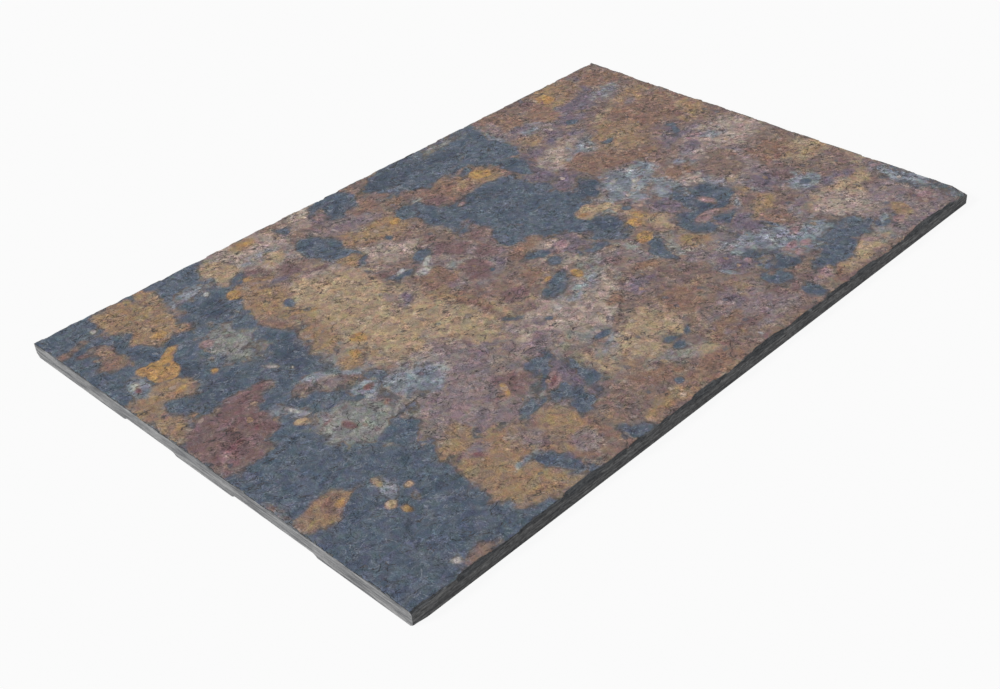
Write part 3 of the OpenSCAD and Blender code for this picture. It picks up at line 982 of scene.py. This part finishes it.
def skin_tree(materials):
    """Geometry Nodes that lay the skin on the cut stone, then add its fine relief."""
    inputs = {"Geometry": "Geometry", "Solid": "Object", **dict.fromkeys(SKIN_INPUTS, "Float")}
    tree, size, end = new_group("Riven skin", "GeometryNodeTree", inputs, {"Geometry": "Geometry"})

    def result(kind, values, output=0, **settings):
        return Signal(add_node(tree, kind, values, **settings).outputs[output])

    def stored(geometry, name, value):
        values = {"Geometry": geometry, "Name": name, "Value": value}
        return result("GeometryNodeStoreNamedAttribute", values, data_type="FLOAT", domain="POINT")

    def named(name, kind="FLOAT"):
        return result("GeometryNodeInputNamedAttribute", {"Name": name}, "Attribute", data_type=kind)

    def waves(where, wave_size, detail):
        return where.noise(1.0 / wave_size, detail=detail, roughness=0.5) - 0.5

    place = result("GeometryNodeInputPosition", {})
    normal = result("GeometryNodeInputNormal", {})
    facing = normal.split()[2]

    # How much stone has gone, written before the skin is laid on the solid, then the steep breaks in it
    solid = result("GeometryNodeObjectInfo", {"Object": size["Solid"]}, "Geometry", transform_space="ORIGINAL")
    nearest = add_node(tree, "GeometryNodeProximity", {0: solid}, target_element="FACES")
    gone = Signal(nearest.outputs["Distance"]).ramp(0.15 * MM, 0.7 * MM)
    measured = stored(size["Geometry"], "gone", gone)
    target = Signal(nearest.outputs["Position"])
    laid = result("GeometryNodeSetPosition", {"Geometry": measured, "Position": target})
    spalled = stored(laid, "spall", named("gone") * facing.ramp(0.84, 0.95, 1.0, 0.0))

    # A crumbled line along the arrises, wide in some places and gone in others
    crumble = place.noise(1 / (4.5 * MM), detail=3.0)
    worn = (crumble - named("rim") / size["fray_width"] * 0.3).ramp(0.38, 0.5)
    frayed = stored(spalled, "fray", worn)

    # Relief of the cleft face, counted upwards
    grain = along_grain(place, -size["grain_bearing"], 1.1)
    across = along_grain(place, -size["step_bearing"], 2.0)
    swell = waves(place, size["swell_size"], 2.0) * size["swell_depth"]
    steps = cleavage_steps(across, 1.0 / size["step_size"], 0.12)[0] * size["step_height"]
    wrinkles = waves(grain, size["wrinkle_size"], 3.0) * size["wrinkle_depth"]
    crust = named("crust") * size["crust_depth"]
    sunk = swell + steps + (wrinkles + crust) - named("fray") * size["fray_depth"]
    lifted = result("ShaderNodeCombineXYZ", {"Z": sunk * facing.ramp(0.5, 0.9)})

    # Roughness of the broken arrises and the sawn edges, counted along the normal
    broken = waves(place, 5 * MM, 3.0) * size["break_depth"]
    sideways = abs(facing).ramp(0.2, 0.5, 1.0, 0.0)
    sawn = waves(place * (0.1, 0.1, 1.0), 2 * MM, 2.0) * size["saw_depth"] * sideways
    offset = lifted + normal * (broken * named("spall") + sawn)
    relief = result("GeometryNodeSetPosition", {"Geometry": frayed, "Offset": offset})

    finished = result("GeometryNodeRealizeInstances", {0: relief})
    for number, material in enumerate(materials):
        values = {2: named("part", "INT"), 3: number}
        chosen = result("FunctionNodeCompare", values, data_type="INT", operation="EQUAL")
        values = {"Geometry": finished, "Selection": chosen, "Material": material}
        finished = result("GeometryNodeSetMaterial", values)
    fill(end, {"Geometry": finished})
    return tree


def input_identifier(tree, name):
    """Identifier of a group's input socket."""
    for item in tree.interface.items_tree:
        if item.item_type == "SOCKET" and item.in_out == "INPUT" and item.name == name:
            return item.identifier
    raise KeyError(name)


def lay_skin(mesh, tree, stone):
    """Runs the skin's nodes on a mesh and returns the plain mesh that comes out."""
    draft = bpy.data.objects.new(PIECE + "_draft", mesh)
    bpy.context.scene.collection.objects.link(draft)
    modifier = draft.modifiers.new("skin", "NODES")
    modifier.node_group = tree
    modifier[input_identifier(tree, "Solid")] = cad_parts[NODE]
    for name in SKIN_INPUTS:
        modifier[input_identifier(tree, name)] = getattr(stone, name)
    graph = bpy.context.evaluated_depsgraph_get()
    laid = draft.evaluated_get(graph)
    finished = bpy.data.meshes.new_from_object(laid, preserve_all_data_layers=True, depsgraph=graph)
    bpy.data.objects.remove(draft)
    return finished


class SLATE_OT_build_stone(Operator):
    """Builds the tile's stone over its solid"""

    bl_idname = "slate.build_stone"
    bl_label = "Build stone"

    def execute(self, context):
        stone = context.scene.slate_stone
        colours = context.scene.slate_colours
        grain, broken, votes = stone_grain_group(), broken_slate_group(), stain_vote_group()
        materials = (
            riven_material(grain, broken, votes, stone, colours),
            sawn_material(broken, stone),
            bed_material(grain, stone),
        )
        mesh = skin_mesh(stone)
        write_stains(mesh)
        finished = lay_skin(mesh, skin_tree(materials), stone)
        finished.name = PIECE
        finished.shade_smooth()
        finished.set_sharp_from_angle(angle=SHARP_ANGLE)
        piece = bpy.data.objects.new(PIECE, finished)
        context.scene.collection.objects.link(piece)
        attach(piece, BODY)
        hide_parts(NODE)
        return {"FINISHED"}


# The studio

def direct_ray(tree):
    """1 for a ray that the camera sees straight, in a reflection or through glass."""
    path = add_node(tree, "ShaderNodeLightPath")
    seen = Signal(path.outputs["Is Camera Ray"])
    for kind in ("Is Glossy Ray", "Is Transmission Ray"):
        seen = seen.at_least(Signal(path.outputs[kind]))
    return seen


def floor_material(stage):
    """Pale floor that fades into the white backdrop but keeps the tile's shadow."""
    material = bpy.data.materials.new("studio_floor")
    tree = empty_tree(material)
    diffuse = add_node(tree, "ShaderNodeBsdfDiffuse", {"Color": rgba(stage.floor_colour)})
    white = add_node(tree, "ShaderNodeEmission", {"Strength": 1.0})
    seen = direct_ray(tree) * stage.floor_whiteness
    values = {0: seen, 1: Signal(diffuse.outputs[0]), 2: Signal(white.outputs[0])}
    mixed = add_node(tree, "ShaderNodeMixShader", values)
    add_node(tree, "ShaderNodeOutputMaterial", {"Surface": Signal(mixed.outputs[0])})
    return material


def white_world(scene, stage):
    """White backdrop with a plain, softer light from all round."""
    world = bpy.data.worlds.new("studio")
    tree = empty_tree(world)
    values = {"Color": (1.0, 1.0, 1.0, 1.0), "Strength": direct_ray(tree).at_least(stage.sky_strength)}
    background = add_node(tree, "ShaderNodeBackground", values)
    add_node(tree, "ShaderNodeOutputWorld", {"Surface": Signal(background.outputs[0])})
    scene.world = world


def add_floor(scene, stage):
    """The studio floor, just under the tile."""
    half = stage.floor_size / 2
    height = TILE_LOW.z - FLOOR_GAP
    mesh = bpy.data.meshes.new("studio_floor")
    corners = [(-half, -half, height), (half, -half, height), (half, half, height), (-half, half, height)]
    mesh.from_pydata(corners, [], [(0, 1, 2, 3)])
    mesh.materials.append(floor_material(stage))
    floor = bpy.data.objects.new("studio_floor", mesh)
    scene.collection.objects.link(floor)


def add_key(scene, stage):
    """One wide lamp, like a large soft box."""
    lamp = bpy.data.lights.new("key_lamp", "SUN")
    lamp.energy = stage.key_strength
    lamp.angle = stage.key_softness
    key = bpy.data.objects.new("key_lamp", lamp)
    direction = Vector(stage.key_direction).normalized()
    key.rotation_euler = direction.to_track_quat("Z", "Y").to_euler()
    key.location = direction * LAMP_DISTANCE
    scene.collection.objects.link(key)


def add_camera(scene, stage):
    """The camera at the photograph's place, with its small roll and shift."""
    bearing, pitch, roll = stage.camera_bearing, stage.camera_pitch, stage.camera_roll
    forward = Vector((
        math.cos(pitch) * math.cos(bearing), math.cos(pitch) * math.sin(bearing), -math.sin(pitch)
    ))
    level = Vector((math.sin(bearing), -math.cos(bearing), 0.0))
    down = forward.cross(level)
    right = math.cos(roll) * level + math.sin(roll) * down
    up = math.sin(roll) * level - math.cos(roll) * down
    turn = Matrix((right, up, -forward)).transposed()
    lens = bpy.data.cameras.new("camera")
    lens.lens = stage.camera_lens
    lens.shift_x = stage.camera_shift
    lens.clip_start = 0.01
    camera = bpy.data.objects.new("camera", lens)
    camera.matrix_world = Matrix.Translation(Vector(stage.camera_place)) @ turn.to_4x4()
    scene.collection.objects.link(camera)
    scene.camera = camera


class SLATE_OT_build_stage(Operator):
    """Builds the floor, the light and the camera"""

    bl_idname = "slate.build_stage"
    bl_label = "Build stage"

    def execute(self, context):
        scene = context.scene
        stage = scene.slate_stage
        scene.view_settings.view_transform = "Standard"
        for build in (white_world, add_floor, add_key, add_camera):
            build(scene, stage)
        return {"FINISHED"}


class SLATE_PT_sidebar(Panel):
    """Lists the tile's builders and settings"""

    bl_idname = "SLATE_PT_sidebar"
    bl_label = "Slate tile"
    bl_space_type = "VIEW_3D"
    bl_region_type = "UI"
    bl_category = "Slate"

    def draw(self, context):
        layout = self.layout
        layout.operator(SLATE_OT_build_stone.bl_idname)
        layout.operator(SLATE_OT_build_stage.bl_idname)
        for group in (context.scene.slate_stone, context.scene.slate_colours, context.scene.slate_stage):
            box = layout.box()
            for name in group.bl_rna.properties.keys():
                if name not in {"rna_type", "name"}:
                    box.prop(group, name)


CLASSES = (
    SlateStainColours, SlateStoneSettings, SlateStageSettings,
    SLATE_OT_build_stone, SLATE_OT_build_stage, SLATE_PT_sidebar,
)


def register():
    """Registers the classes and puts their settings on the scene."""
    for item in CLASSES:
        bpy.utils.register_class(item)
    bpy.types.Scene.slate_colours = PointerProperty(type=SlateStainColours)
    bpy.types.Scene.slate_stone = PointerProperty(type=SlateStoneSettings)
    bpy.types.Scene.slate_stage = PointerProperty(type=SlateStageSettings)


def unregister():
    """Takes the settings and classes away again."""
    del bpy.types.Scene.slate_stage
    del bpy.types.Scene.slate_stone
    del bpy.types.Scene.slate_colours
    for item in reversed(CLASSES):
        bpy.utils.unregister_class(item)


def main():
    """Builds the tile and its studio."""
    register()
    bpy.ops.slate.build_stone()
    bpy.ops.slate.build_stage()


if __name__ == "__main__":
    main()
